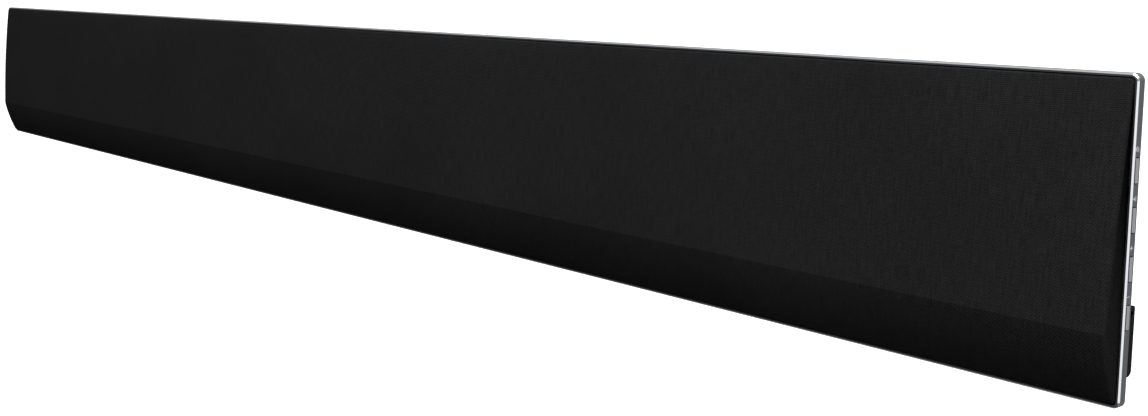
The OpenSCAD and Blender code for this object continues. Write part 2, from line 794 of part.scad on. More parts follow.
module tweeter_body(x) {
    color([0.14, 0.14, 0.15]) difference() {
        driver_turn(x, [[0, 3], [8.3, 3], [8.3, 5.5], [9.9, 5.5], [9.9, 1], [10.6, 0],
                        [13.5, -driver_plate], [tweeter_r, -driver_plate], [tweeter_r, 0],
                        [tweeter_cup_r, 0], [tweeter_cup_r, 9], [0, 9]]);
        from_bottom() pins(ring(x, tweeter_screw_r, 2), y_baffle + cut, driver_plate + 2 * cut,
                           driver_hole_r);
    }
}

module tweeter_dome(x) {
    color([0.30, 0.30, 0.32])
        driver_turn(x, concat(crown([0, -1.8], [9.4, 0.8], 0.8, 8),
                              [[9.4, 4.6], [8.9, 4.6], [8.9, 1.4]],
                              crown([8.6, 1.2], [0, -1.3], 0.6, 8)));
}

// ---- Wall fittings ----

module hang_plates() {
    color([0.66, 0.66, 0.68]) from_bottom() for (side = [-1, 1])
        translate([side * hang_spacing / 2, 0, 0]) hang_plate();
}

// Cast plate with a keyhole and a closed pocket behind it for the wall screw's head
module hang_plate() {
    difference() {
        union() {
            forward_from(0) translate([0, (plate_low + plate_high) / 2, 0])
                linear_extrude(plate_thickness) rounded(plate_width, plate_height, 2);
            span([-pocket_half - pocket_wall, pocket_floor - pocket_wall, pocket_low - pocket_wall],
                 [pocket_half + pocket_wall, -cut, pocket_high + pocket_wall]);
        }
        span([-pocket_half, pocket_floor, pocket_low], [pocket_half, -plate_thickness, pocket_high]);
        forward_from(cut) translate([0, hang_z, 0]) cylinder(h = plate_thickness + 2 * cut, r = keyhole_r);
        span([-keyhole_slot / 2, -plate_thickness - cut, hang_z],
             [keyhole_slot / 2, cut, hang_z + keyhole_rise]);
        forward_from(cut) translate([0, hang_z + keyhole_rise, 0])
            cylinder(h = plate_thickness + 2 * cut, r = keyhole_slot / 2);
        pins(plate_points(), cut, plate_thickness + 2 * cut, rear_screw_r + 0.1);
        // Seats keep the heads below the plate's face
        pins(plate_points(), cut, cut + plate_sink, rear_head_r + fit);
    }
}

// Side outline of a spacer: [distance behind the flange, height], rounded on the wall side
module spacer_outline() {
    depth = spacer_back - y_flange;
    difference() {
        square([depth, spacer_height]);
        translate([depth - spacer_top_r, spacer_height - spacer_top_r])
            square([spacer_top_r + cut, spacer_top_r + cut]);
        translate([depth - spacer_foot_r, -cut]) square([spacer_foot_r + cut, spacer_foot_r + cut]);
    }
    translate([depth - spacer_top_r, spacer_height - spacer_top_r]) circle(spacer_top_r);
    translate([depth - spacer_foot_r, spacer_foot_r]) circle(spacer_foot_r);
}

module wall_spacer(side) {
    color([0.07, 0.07, 0.08]) from_bottom() difference() {
        translate([side * spacer_x - spacer_width / 2, y_flange, spacer_z]) rotate([90, 0, 90])
            linear_extrude(spacer_width) spacer_outline();
        translate([side * (half_length - spacer_inset - spacer_eye_depth), spacer_eye_y,
                   spacer_z + spacer_height - spacer_eye_drop])
            rotate([0, side * 90, 0]) cylinder(h = spacer_eye_depth + cut, r = spacer_eye_r);
        pins(spacer_points(side), cut, cut - y_flange + cut, rear_screw_r + 0.1);
        pins(spacer_points(side), cut, cut - y_flange - 4, rear_head_r + 0.3);
        // Shallow seat for the rubber pad
        translate([side * (spacer_x + pad_shift), 0, spacer_z + spacer_height / 2])
            forward_from(spacer_back + cut) linear_extrude(cut + pad_seat)
                rounded(pad_width + 2 * fit, pad_height + 2 * fit, 2);
    }
}

module spacer_pads() {
    color([0.04, 0.04, 0.04]) from_bottom() for (side = [-1, 1])
        translate([side * (spacer_x + pad_shift), 0, spacer_z + spacer_height / 2])
            forward_from(0) linear_extrude(pad_thickness + pad_seat) rounded(pad_width, pad_height, 2);
}

// ---- Fasteners ----

module frame_screws() {
    color([0.2, 0.2, 0.2]) from_bottom() for (p = tab_points())
        translate([p[0], y_back, p[1]]) rotate([90, 0, 0]) screw(2, 1, tab_screw_r - 0.05, 2.8);
}

module baffle_screws() {
    color([0.2, 0.2, 0.2]) from_bottom() for (p = boss_points())
        translate([p[0], y_baffle, p[1]]) rotate([-90, 0, 0])
            screw(baffle_head_r, baffle_head_h, screw_hole_r - 0.05, 10);
}

module driver_screws() {
    color([0.2, 0.2, 0.2]) from_bottom() for (p = driver_screw_points())
        translate([p[0], y_baffle - driver_plate, p[1]]) rotate([-90, 0, 0]) screw(1.8, 0.8, 0.85, 4.5);
}

module board_screws() {
    color([0.6, 0.6, 0.6]) from_bottom() for (x = [-bay_x, bay_x], p = board_corners(x))
        translate([p[0], board_front, p[1]]) rotate([-90, 0, 0]) screw(2.4, 1, screw_hole_r - 0.05, 6);
}

module rear_screws() {
    color([0.2, 0.2, 0.2]) from_bottom() for (s = [-1, 1]) {
        for (p = plate_screws)
            translate([s * hang_spacing / 2 + p[0], -plate_sink, hang_z + p[1]]) rotate([90, 0, 0])
                screw(rear_head_r, 0.8, screw_hole_r + 0.05, 7.5);
        for (p = spacer_screws)
            translate([s * (spacer_x + p[0]), y_flange + 4, spacer_z + p[1]]) rotate([90, 0, 0])
                screw(rear_head_r, 1.6, screw_hole_r + 0.05, 7.8);
    }
}

// ---- Nodes ----

front_frame();
grille_frame();
grille_fabric();
baffle();
rear_housing(-half_length, -side_start);  // rear_housing_left
rear_housing(-centre_end, centre_end);  // rear_housing_centre
rear_housing(side_start, half_length);  // rear_housing_right
port_panel();
dc_inlet();
optical_socket();
av_sockets();
usb_socket();
main_board();
wireless_module();
amplifier_board();
display_board();
key_board();
key(3);  // power_key
key(2);  // source_key
key(1);  // volume_up_key
key(0);  // volume_down_key
wall_spacer(-1);  // wall_spacer_left
wall_spacer(1);  // wall_spacer_right
spacer_pads();
hang_plates();
frame_screws();
baffle_screws();
driver_screws();
board_screws();
rear_screws();
for (i = [0:woofer_count - 1]) {
    woofer_basket(woofer_x[i]);
    woofer_magnet(woofer_x[i]);
    woofer_cone(woofer_x[i]);
    woofer_suspension(woofer_x[i]);
}
for (i = [0:tweeter_count - 1]) {
    tweeter_body(channel_centres[i]);
    tweeter_dome(channel_centres[i]);
}
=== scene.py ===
import math

import bmesh
import bpy
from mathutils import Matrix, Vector


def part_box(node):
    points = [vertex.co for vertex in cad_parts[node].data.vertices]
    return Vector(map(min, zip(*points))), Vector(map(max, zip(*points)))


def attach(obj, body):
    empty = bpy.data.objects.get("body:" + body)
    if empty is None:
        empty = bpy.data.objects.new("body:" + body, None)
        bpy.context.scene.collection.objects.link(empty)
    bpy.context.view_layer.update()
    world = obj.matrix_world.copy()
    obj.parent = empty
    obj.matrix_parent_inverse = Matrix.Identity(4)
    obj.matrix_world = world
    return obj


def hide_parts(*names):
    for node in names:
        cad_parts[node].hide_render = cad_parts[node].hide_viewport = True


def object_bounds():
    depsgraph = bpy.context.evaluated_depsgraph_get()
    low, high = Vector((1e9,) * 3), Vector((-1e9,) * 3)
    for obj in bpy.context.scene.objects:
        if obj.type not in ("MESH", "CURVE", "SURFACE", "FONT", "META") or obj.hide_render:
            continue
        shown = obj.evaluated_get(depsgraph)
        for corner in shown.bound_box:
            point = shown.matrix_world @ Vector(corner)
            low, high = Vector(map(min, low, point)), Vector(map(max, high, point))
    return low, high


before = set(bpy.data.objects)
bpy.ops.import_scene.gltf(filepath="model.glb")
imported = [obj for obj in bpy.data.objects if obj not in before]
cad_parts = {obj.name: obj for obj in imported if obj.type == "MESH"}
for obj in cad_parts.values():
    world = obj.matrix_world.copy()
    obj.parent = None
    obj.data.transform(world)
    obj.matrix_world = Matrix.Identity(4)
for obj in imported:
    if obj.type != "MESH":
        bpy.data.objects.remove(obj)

bl_info = {
    "name": "Soundbar looks",
    "version": (1, 0, 0),
    "blender": (4, 5, 0),
    "location": "View3D > Sidebar > Soundbar",
    "description": "Cloth, metal and plastic finishes for a wall-hung soundbar, built round its packed frame",
    "category": "Object",
}

MM = 0.001
CAD_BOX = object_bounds()
CHASSIS = "chassis"


# ---------------------------------------------------------------- measures taken from the frame

def size_of(name):
    """Lowest and highest corner of a CAD node and its size."""
    low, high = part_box(name)
    return low, high, high - low


def crease_height():
    """Height of the cloth's crease: that of its foremost vertices."""
    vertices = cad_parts["grille_fabric"].data.vertices
    return min(vertices, key=lambda v: v.co.y).co.z


CLOTH_LOW, CLOTH_HIGH, CLOTH_SIZE = size_of("grille_fabric")
BAND_LOW, BAND_HIGH, BAND_SIZE = size_of("front_frame")
KEYS = ["volume_down_key", "volume_up_key", "source_key", "power_key"]
HOUSINGS = ["rear_housing_left", "rear_housing_centre", "rear_housing_right"]
WOOFERS = range(1, 7)
TWEETERS = range(1, 4)

# Steps along each part of the cloth's section, and along its length
LOWER_STEPS = 12
UPPER_STEPS = 24
CORNER_STEPS = 5
LENGTH_STEPS = 96
END_ANGLES = (0, 18, 36, 54, 72)
EDGE_SHARE = 0.8             # radius of the tucked corners, as a share of the edge radius

# Camera: just past the right end and a little above the bar, looking along it
CAMERA_SENSOR = 36.0
CAMERA_LENS = 45.74
CAMERA_X = 1.0498
CAMERA_AHEAD = 0.5666
CAMERA_ABOVE = 0.1884
CAMERA_DIP = 0.1612
CAMERA_TURN = 0.8944
NEAREST_SEEN = 0.01
FLOOR_REACH = 80.0
KEY_DIRECTION = (0.1, 0.4, -0.91)
KEY_ANGLE = 18

# Wire nets behind the vents
NET_WIDTH = 0.176
NET_HEIGHT = 0.024
NET_PITCH = 1.2 * MM
NET_WIRE = 0.3 * MM
NET_BEHIND_PANEL = 2.4 * MM
NET_BELOW_BOARD_TOP = 17 * MM


# ---------------------------------------------------------------- small helpers

def linear(hex_colour):
    """sRGB hex colour to linear RGBA."""
    channels = [int(hex_colour[i:i + 2], 16) / 255 for i in (1, 3, 5)]
    return [c / 12.92 if c <= 0.04045 else ((c + 0.055) / 1.055) ** 2.4 for c in channels] + [1.0]


def add_node(tree, kind, settings=None, links=None):
    """Adds a node. settings names its properties and input values, links names the sockets that feed it."""
    made = tree.nodes.new(kind)
    for name, value in (settings or {}).items():
        if isinstance(name, str) and hasattr(made, name) and name not in made.inputs:
            setattr(made, name, value)
        else:
            made.inputs[name].default_value = value
    for name, source in (links or {}).items():
        tree.links.new(source, made.inputs[name])
    return made


def new_material(name):
    """An empty node material and its tree."""
    material = bpy.data.materials.new(name)
    material.use_nodes = True
    material.node_tree.nodes.clear()
    return material, material.node_tree


def finish_material(tree, settings, links):
    """Ends a material in a Principled shader."""
    shader = add_node(tree, "ShaderNodeBsdfPrincipled", settings, links)
    add_node(tree, "ShaderNodeOutputMaterial", None, {"Surface": shader.outputs["BSDF"]})


def dress(material, *names):
    """Gives CAD nodes a material."""
    for name in names:
        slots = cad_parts[name].data.materials
        slots.clear()
        slots.append(material)


def piece(name, mesh, material, body):
    """Links a finished mesh, with its material and body."""
    obj = bpy.data.objects.new(name, mesh)
    bpy.context.scene.collection.objects.link(obj)
    if material is not None:
        mesh.materials.clear()
        mesh.materials.append(material)
    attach(obj, body)
    return obj


# ---------------------------------------------------------------- settings

class SoundbarCloth(bpy.types.PropertyGroup):
    """Shape and colour of the stretched cloth."""
    edge_out: bpy.props.FloatProperty(
        name="Edge stand-out", description="How far the cloth stands ahead of the band at its edges",
        default=1.4 * MM, unit="LENGTH")
    upper_swell: bpy.props.FloatProperty(
        name="Upper swell", description="Swell of the upper face", default=1.3 * MM, unit="LENGTH")
    lower_swell: bpy.props.FloatProperty(
        name="Lower swell", description="Swell of the lower face", default=1.2 * MM, unit="LENGTH")
    crease_radius: bpy.props.FloatProperty(
        name="Crease radius", description="Radius of the fold along the front", default=1.0 * MM,
        unit="LENGTH")
    edge_radius: bpy.props.FloatProperty(
        name="Edge radius", description="Radius where the cloth turns in at the band and the ends",
        default=1.5 * MM, unit="LENGTH")
    thickness: bpy.props.FloatProperty(
        name="Thickness", description="Thickness of the cloth", default=0.6 * MM, unit="LENGTH")
    tuck: bpy.props.FloatProperty(
        name="Tuck", description="Depth that the edge sinks behind the band's front", default=0.6 * MM,
        unit="LENGTH")
    thread_pitch: bpy.props.FloatProperty(
        name="Thread pitch", description="Distance between threads", default=0.9 * MM, unit="LENGTH")
    colour: bpy.props.StringProperty(
        name="Yarn colour", description="sRGB hex of the charcoal yarn", default="#141415")
    fleck: bpy.props.StringProperty(
        name="Fleck colour", description="sRGB hex of the lighter fibres", default="#252526")


class SoundbarMetal(bpy.types.PropertyGroup):
    """Colours of the metal parts."""
    band: bpy.props.StringProperty(
        name="Band colour", description="sRGB hex of the anodised band", default="#8a8c92")
    cut_edge: bpy.props.StringProperty(
        name="Cut edge colour", description="sRGB hex of the bright cut bevel", default="#f2f3f6")
    keys: bpy.props.StringProperty(
        name="Key colour", description="sRGB hex of the keys", default="#e4e5e8")
    bevel: bpy.props.FloatProperty(
        name="Bevel", description="Width of the bright bevel", default=0.7 * MM, unit="LENGTH")


class SoundbarStage(bpy.types.PropertyGroup):
    """Floor, light and camera."""
    drop: bpy.props.FloatProperty(
        name="Floor drop", description="Depth of the floor below the bar", default=0.9, unit="LENGTH")
    floor: bpy.props.StringProperty(
        name="Floor colour", description="sRGB hex of the floor", default="#fafafa")
    key_strength: bpy.props.FloatProperty(
        name="Key light", description="Strength of the overhead front light", default=1.7)
    side_power: bpy.props.FloatProperty(
        name="Side light", description="Power of the soft box above the right end", default=118.0,
        unit="POWER")
    edge_power: bpy.props.FloatProperty(
        name="Edge light", description="Power of the low soft box that the cut edge reflects", default=6.0,
        unit="POWER")


# ---------------------------------------------------------------- materials

def object_place(tree):
    """Object coordinates split into X, Y and Z."""
    place = add_node(tree, "ShaderNodeTexCoord")
    parts = add_node(tree, "ShaderNodeSeparateXYZ", None, {0: place.outputs["Object"]})
    return place.outputs["Object"], parts


def feed(tree, sockets, values):
    """Links each socket to the value's socket, or sets it to the value. None leaves it alone."""
    for socket, value in zip(sockets, values):
        if isinstance(value, bpy.types.NodeSocket):
            tree.links.new(value, socket)
        elif value is not None:
            socket.default_value = value


def maths(tree, operation, a, b=None):
    """One Math node on sockets or numbers."""
    made = tree.nodes.new("ShaderNodeMath")
    made.operation = operation
    feed(tree, made.inputs[:2], (a, b))
    return made.outputs[0]


def joined_vector(tree, x, y, z):
    """A vector from three sockets or numbers."""
    made = tree.nodes.new("ShaderNodeCombineXYZ")
    feed(tree, made.inputs[:3], (x, y, z))
    return made.outputs[0]


def noise(tree, vector, scale, detail=2.0, roughness=0.5):
    """Noise value on a vector in metres, with features 1/scale metres across."""
    made = add_node(tree, "ShaderNodeTexNoise", {"Scale": scale, "Detail": detail, "Roughness": roughness},
                    {"Vector": vector})
    return made.outputs["Fac"]


def stretched(tree, vector, scale):
    """The vector scaled by three factors, for grain that runs one way."""
    made = add_node(tree, "ShaderNodeMapping", {"Scale": scale}, {"Vector": vector})
    return made.outputs["Vector"]


def between(tree, factor, low, high):
    """Colour that runs from low to high with factor."""
    made = tree.nodes.new("ShaderNodeMix")
    made.data_type = "RGBA"
    feed(tree, (made.inputs[0], made.inputs[6], made.inputs[7]), (factor, low, high))
    return made.outputs[2]


def ramp_value(tree, value, low, high, to_low=0.0, to_high=1.0):
    """The value brought from low..high to to_low..to_high and held inside."""
    made = add_node(tree, "ShaderNodeMapRange", {"From Min": low, "From Max": high, "To Min": to_low,
                                                 "To Max": to_high, "clamp": True}, {"Value": value})
    return made.outputs["Result"]


def bump(tree, height, distance, strength=1.0):
    """A normal from a height, distance in metres."""
    made = add_node(tree, "ShaderNodeBump", {"Strength": strength, "Distance": distance}, {"Height": height})
    return made.outputs["Normal"]


def woven_polyester(settings):
    """Plain-woven charcoal polyester. Matt, with a faint melange and a thread you can just see.
    Its real thread spacing is about 0.4 mm; it is drawn coarser, so that it shows."""
    material, tree = new_material("woven_polyester_charcoal")
    uv = add_node(tree, "ShaderNodeUVMap", {"uv_map": "cloth"})
    parts = add_node(tree, "ShaderNodeSeparateXYZ", None, {0: uv.outputs["UV"]})
    pitch = settings.thread_pitch
    across = maths(tree, "DIVIDE", parts.outputs["X"], pitch)
    along = maths(tree, "DIVIDE", parts.outputs["Y"], pitch)
    parity = maths(tree, "MODULO", maths(tree, "ADD", maths(tree, "FLOOR", across),
                                         maths(tree, "FLOOR", along)), 2.0)
    over = maths(tree, "ABSOLUTE", parity)
    warp = maths(tree, "ABSOLUTE", maths(tree, "SINE", maths(tree, "MULTIPLY", across, math.pi)))
    weft = maths(tree, "ABSOLUTE", maths(tree, "SINE", maths(tree, "MULTIPLY", along, math.pi)))
    crossing = maths(tree, "ADD", maths(tree, "MULTIPLY", warp, over),
                     maths(tree, "MULTIPLY", weft, maths(tree, "SUBTRACT", 1.0, over)))
    # Slub: yarns run thick and thin, mostly along the upright threads
    upright = noise(tree, stretched(tree, uv.outputs["UV"], (820.0, 90.0, 1.0)), 1.0, 4.0)
    level = noise(tree, stretched(tree, uv.outputs["UV"], (160.0, 1000.0, 1.0)), 1.0, 4.0)
    fuzz = noise(tree, uv.outputs["UV"], 900.0, 4.0, 0.7)
    slub = maths(tree, "ADD", maths(tree, "MULTIPLY", upright, 0.42), maths(tree, "MULTIPLY", level, 0.25))
    slub = maths(tree, "ADD", slub, maths(tree, "MULTIPLY", fuzz, 0.33))
    patch = noise(tree, uv.outputs["UV"], 9.0, 2.0)
    fleck = ramp_value(tree, maths(tree, "MULTIPLY", slub, maths(tree, "ADD", 0.8, maths(
        tree, "MULTIPLY", crossing, 0.2))), 0.3, 0.64)
    base = between(tree, fleck, linear(settings.colour), linear(settings.fleck))
    shade = between(tree, ramp_value(tree, patch, 0.3, 0.7, 0.0, 0.35), base, linear(settings.colour))
    height = maths(tree, "ADD", crossing, maths(tree, "MULTIPLY", slub, 0.7))
    finish_material(
        tree,
        {"Roughness": 0.95, "IOR": 1.5, "Specular IOR Level": 0.02},
        {"Base Color": shade, "Normal": bump(tree, height, 0.18 * MM, 0.7)})
    return material


def anodised_band(settings):
    """Bead-blasted, clear-anodised aluminium with a diamond-cut front bevel. The faces are a soft satin
    grey; the bevel was cut after anodising, so it is bright and nearly polished."""
    material, tree = new_material("anodised_aluminium_diamond_cut")
    vector, place = object_place(tree)
    middle = (BAND_LOW + BAND_HIGH) / 2
    half = BAND_SIZE / 2
    side = ramp_value(tree, maths(tree, "ABSOLUTE", place.outputs["X"]),
                      half.x - settings.bevel * 1.02, half.x - settings.bevel * 0.98)
    ends = ramp_value(tree, maths(tree, "ABSOLUTE", maths(tree, "SUBTRACT", place.outputs["Z"], middle.z)),
                      half.z - settings.bevel * 1.02, half.z - settings.bevel * 0.98)
    front = ramp_value(tree, place.outputs["Y"], BAND_LOW.y + settings.bevel * 0.98,
                       BAND_LOW.y + settings.bevel * 1.02, 1.0, 0.0)
    outer = maths(tree, "MAXIMUM", side, ends)
    cut = maths(tree, "MULTIPLY", outer, front)
    # Blasted grain about 0.15 mm across, drawn as it is
    grain = noise(tree, vector, 7000.0, 2.0)
    smear = noise(tree, vector, 14.0, 3.0)
    tone = ramp_value(tree, smear, 0.3, 0.7)
    body = linear(settings.band)
    darker = [c * 0.86 for c in body[:3]] + [1.0]
    base = between(tree, cut, between(tree, tone, darker, body), linear(settings.cut_edge))
    rough = maths(tree, "ADD", ramp_value(tree, smear, 0.3, 0.7, 0.34, 0.42),
                  maths(tree, "MULTIPLY", cut, -0.20))
    finish_material(
        tree, {"Metallic": 1.0},
        {"Base Color": base, "Roughness": rough, "Normal": bump(tree, grain, 0.006 * MM, 0.5)})
    return material


def satin_metal(name, colour, roughness, grain_scale=6000.0, brushed=None):
    """Satin metal with a fine grain; brushed gives the stretch of the grain along each axis."""
    material, tree = new_material(name)
    vector, _ = object_place(tree)
    if brushed:
        vector = stretched(tree, vector, brushed)
        grain_scale = 1.0
    grain = noise(tree, vector, grain_scale, 2.0)
    base = linear(colour)
    darker = [c * 0.85 for c in base[:3]] + [1.0]
    tone = ramp_value(tree, grain, 0.3, 0.7)
    finish_material(
        tree, {"Metallic": 1.0},
        {"Base Color": between(tree, tone, darker, base),
         "Roughness": ramp_value(tree, grain, 0.3, 0.7, roughness - 0.05, roughness + 0.05),
         "Normal": bump(tree, grain, 0.008 * MM, 0.4)})
    return material


def moulded_plastic(name, colour, roughness, grain_mm=0.5, depth_mm=0.02, lighter=1.25, shine=0.45):
    """Injection-moulded plastic from a spark-eroded tool: a fine even pebble, and a slight mottle where
    hands and packing have burnished it."""
    material, tree = new_material(name)
    vector, _ = object_place(tree)
    pebble = add_node(tree, "ShaderNodeTexVoronoi", {"Scale": 1.0 / (grain_mm * MM)}, {"Vector": vector})
    fine = noise(tree, vector, 2.5 / (grain_mm * MM), 2.0)
    mottle = noise(tree, vector, 22.0, 3.0)
    height = maths(tree, "ADD", pebble.outputs["Distance"], maths(tree, "MULTIPLY", fine, 0.5))
    base = linear(colour)
    pale = [min(1.0, c * lighter) for c in base[:3]] + [1.0]
    finish_material(
        tree, {"IOR": 1.5, "Specular IOR Level": shine},
        {"Base Color": between(tree, ramp_value(tree, mottle, 0.35, 0.7), base, pale),
         "Roughness": ramp_value(tree, mottle, 0.3, 0.7, roughness - 0.05, roughness + 0.06),
         "Normal": bump(tree, height, depth_mm * MM, 0.6)})
    return material


def soft_rubber(name, colour):
    """Moulded silicone rubber: matt, with a dusty bloom and a very fine skin."""
    material, tree = new_material(name)
    vector, _ = object_place(tree)
    skin = noise(tree, vector, 4000.0, 3.0)
    bloom = noise(tree, vector, 60.0, 3.0)
    base = linear(colour)
    dusty = [c * 1.8 + 0.002 for c in base[:3]] + [1.0]
    finish_material(
        tree, {"IOR": 1.41, "Specular IOR Level": 0.3},
        {"Base Color": between(tree, ramp_value(tree, bloom, 0.4, 0.75), base, dusty),
         "Roughness": ramp_value(tree, bloom, 0.3, 0.7, 0.82, 0.95),
         "Normal": bump(tree, skin, 0.02 * MM, 0.6)})
    return material


def solder_resist():
    """Glass-epoxy board under green solder resist, with copper tracks just raised beneath it."""
    material, tree = new_material("green_solder_resist")
    vector, _ = object_place(tree)
    tracks = add_node(tree, "ShaderNodeTexBrick",
                      {"Scale": 180.0, "Mortar Size": 0.06, "Brick Width": 0.9, "Row Height": 0.3,
                       "Color1": (1, 1, 1, 1), "Color2": (0.8, 0.8, 0.8, 1), "Mortar": (0, 0, 0, 1)},
                      {"Vector": vector})
    base = between(tree, tracks.outputs["Fac"], linear("#12452a"), linear("#1d6b40"))
    finish_material(
        tree, {"IOR": 1.5, "Coat Weight": 0.3, "Coat Roughness": 0.2, "Roughness": 0.42},
        {"Base Color": base, "Normal": bump(tree, tracks.outputs["Fac"], 0.03 * MM, 0.5)})
    return material


def pressed_pulp():
    """Pressed paper pulp of a loudspeaker cone: matt, fibrous and ribbed by the screen it was pressed on."""
    material, tree = new_material("pressed_paper_pulp")
    vector, _ = object_place(tree)
    fibre = noise(tree, vector, 900.0, 5.0, 0.7)
    base = between(tree, ramp_value(tree, fibre, 0.3, 0.7), linear("#26272a"), linear("#34353a"))
    finish_material(tree, {"Roughness": 0.86, "Specular IOR Level": 0.3},
                    {"Base Color": base, "Normal": bump(tree, fibre, 0.08 * MM, 0.6)})
    return material


def printed_white():
    """Pad-printed pale ink on metal: matt, slightly broken at the edges by the blasted grain."""
    material, tree = new_material("pad_printed_ink")
    vector, _ = object_place(tree)
    broken = noise(tree, vector, 5000.0, 2.0)
    base = between(tree, ramp_value(tree, broken, 0.25, 0.6), linear("#b9bcc4"), linear("#e8eaee"))
    finish_material(tree, {"Roughness": 0.6, "Specular IOR Level": 0.4},
                    {"Base Color": base, "Normal": bump(tree, broken, 0.01 * MM, 0.4)})
    return material


# ---------------------------------------------------------------- the cloth

def swollen(a, b, swell, steps):
    """Points from a to b, each (height, stand-out), bowed ahead by swell."""
    return [(a[0] + (b[0] - a[0]) * t, a[1] + (b[1] - a[1]) * t + 4 * swell * t * (1 - t))
            for t in (i / steps for i in range(steps + 1))]


def rounded_corner(before, corner, after, radius, steps):
    """An arc in place of the corner between two straight runs."""
    corner = Vector(corner)
    into, out = (Vector(before) - corner).normalized(), (Vector(after) - corner).normalized()
    half_angle = into.angle(out) / 2
    reach = radius / math.tan(half_angle)
    centre = corner + (into + out).normalized() * radius / math.sin(half_angle)
    start, end = corner + into * reach - centre, corner + out * reach - centre
    turn = start.angle(end)
    points = []
    for i in range(steps + 1):
        t = i / steps
        weight_a = math.sin((1 - t) * turn) / math.sin(turn)
        weight_b = math.sin(t * turn) / math.sin(turn)
        points.append(tuple(centre + start * weight_a + end * weight_b))
    return points


def cloth_outline(settings, inset):
    """Section of the stretched cloth from its lower tuck to its upper tuck, moved inwards by inset."""
    front = BAND_LOW.y
    crease_z = crease_height()
    crease_out = front - CLOTH_LOW.y
    low_z, high_z = CLOTH_LOW.z, CLOTH_HIGH.z
    lower = (crease_out - settings.edge_out) / (crease_z - low_z)
    upper = (crease_out - settings.edge_out) / (high_z - crease_z)
    lower_shift = inset * math.hypot(1, lower)
    upper_shift = inset * math.hypot(1, upper)
    rise = (lower_shift - upper_shift) / (lower + upper)
    low = (low_z + inset, settings.edge_out + lower * inset - lower_shift)
    crease = (crease_z + rise, crease_out - upper_shift - upper * rise)
    high = (high_z - inset, settings.edge_out + upper * inset - upper_shift)
    under = swollen(low, crease, settings.lower_swell, LOWER_STEPS)
    over = swollen(crease, high, settings.upper_swell, UPPER_STEPS)
    edge = EDGE_SHARE * min(settings.edge_radius, settings.edge_out)
    outline = [(low[0], -settings.tuck)]
    outline += rounded_corner((low[0], -settings.tuck), low, under[1], edge, CORNER_STEPS)
    outline += under[2:-1]
    outline += rounded_corner(under[-2], crease, over[1], settings.crease_radius, CORNER_STEPS)
    outline += over[1:-2]
    outline += rounded_corner(over[-2], high, (high[0], -settings.tuck), edge, CORNER_STEPS)
    outline.append((high[0], -settings.tuck))
    return outline


def cloth_mesh(settings):
    """The cloth as one continuous sheet: a long wedge with rounded ends, open at the back."""
    half = CLOTH_SIZE.x / 2
    radius = settings.edge_radius
    front = BAND_LOW.y
    turns = [(half - radius + radius * math.cos(a), radius * (1 - math.sin(a)))
             for a in (math.radians(d) for d in END_ANGLES)]
    stations = [(-x, d) for x, d in turns]
    stations += [((i / LENGTH_STEPS * 2 - 1) * (half - radius), 0.0) for i in range(LENGTH_STEPS + 1)]
    stations += [(x, d) for x, d in reversed(turns)]
    mesh = bpy.data.meshes.new("grille_cloth")
    bm = bmesh.new()
    uv = bm.loops.layers.uv.new("cloth")
    rings, travel = [], []
    for x, inset in stations:
        outline = cloth_outline(settings, inset)
        rings.append([bm.verts.new((x, front - out, z)) for z, out in outline])
        lengths = [0.0]
        for a, b in zip(outline, outline[1:]):
            lengths.append(lengths[-1] + math.dist(a, b))
        travel.append([v - lengths[-1] / 2 for v in lengths])
    for r in range(len(rings) - 1):
        for i in range(len(rings[r]) - 1):
            corners = [(r, i), (r, i + 1), (r + 1, i + 1), (r + 1, i)]
            face = bm.faces.new([rings[a][b] for a, b in corners])
            face.smooth = True
            for loop, (a, b) in zip(face.loops, corners):
                loop[uv].uv = (stations[a][0], travel[a][b])
    for ring, side in ((rings[0], -1), (rings[-1], 1)):
        face = bm.faces.new(ring if side < 0 else list(reversed(ring)))
        face.smooth = True
        for loop in face.loops:
            loop[uv].uv = (side * (half + loop.vert.co.y - CLOTH_LOW.y), loop.vert.co.z)
    bmesh.ops.recalc_face_normals(bm, faces=bm.faces)
    if sum(f.normal.y * f.calc_area() for f in bm.faces) > 0:
        bmesh.ops.reverse_faces(bm, faces=bm.faces)
    bm.to_mesh(mesh)
    bm.free()
    return mesh


class SOUNDBAR_OT_cloth(bpy.types.Operator):
    """Stretches the woven cloth over the wedge-shaped front"""
    bl_idname = "soundbar.cloth"
    bl_label = "Grille cloth"

    def execute(self, context):
        settings = context.scene.soundbar_cloth
        cloth = piece("grille_cloth", cloth_mesh(settings), woven_polyester(settings), CHASSIS)
        shell = cloth.modifiers.new("thickness", "SOLIDIFY")
        shell.thickness = settings.thickness
        shell.offset = -1.0
        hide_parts("grille_fabric")
        outline = cloth_outline(settings, 0.0)
        dress(moulded_plastic("grille_carrier_abs", "#17181a", 0.6), "grille_frame")
        return {"FINISHED"}


# ---------------------------------------------------------------- metal band, keys and their marks

class SOUNDBAR_OT_metal(bpy.types.Operator):
    """Finishes the metal band and the four keys"""
    bl_idname = "soundbar.metal"
    bl_label = "Band and keys"

    def execute(self, context):
        settings = context.scene.soundbar_metal
        dress(anodised_band(settings), "front_frame")
        dress(satin_metal("anodised_aluminium_keys", settings.keys, 0.36), *KEYS)
        return {"FINISHED"}


def flat_bar(bm, a, b, width):
    """A flat stroke between two points of a mark, in its own plane."""
    a, b = Vector(a), Vector(b)
    way = (b - a).normalized()
    side = Vector((-way.y, way.x)) * width / 2
    bm.faces.new([bm.verts.new((p.x, p.y, 0)) for p in (a + side, a - side, b - side, b + side)])


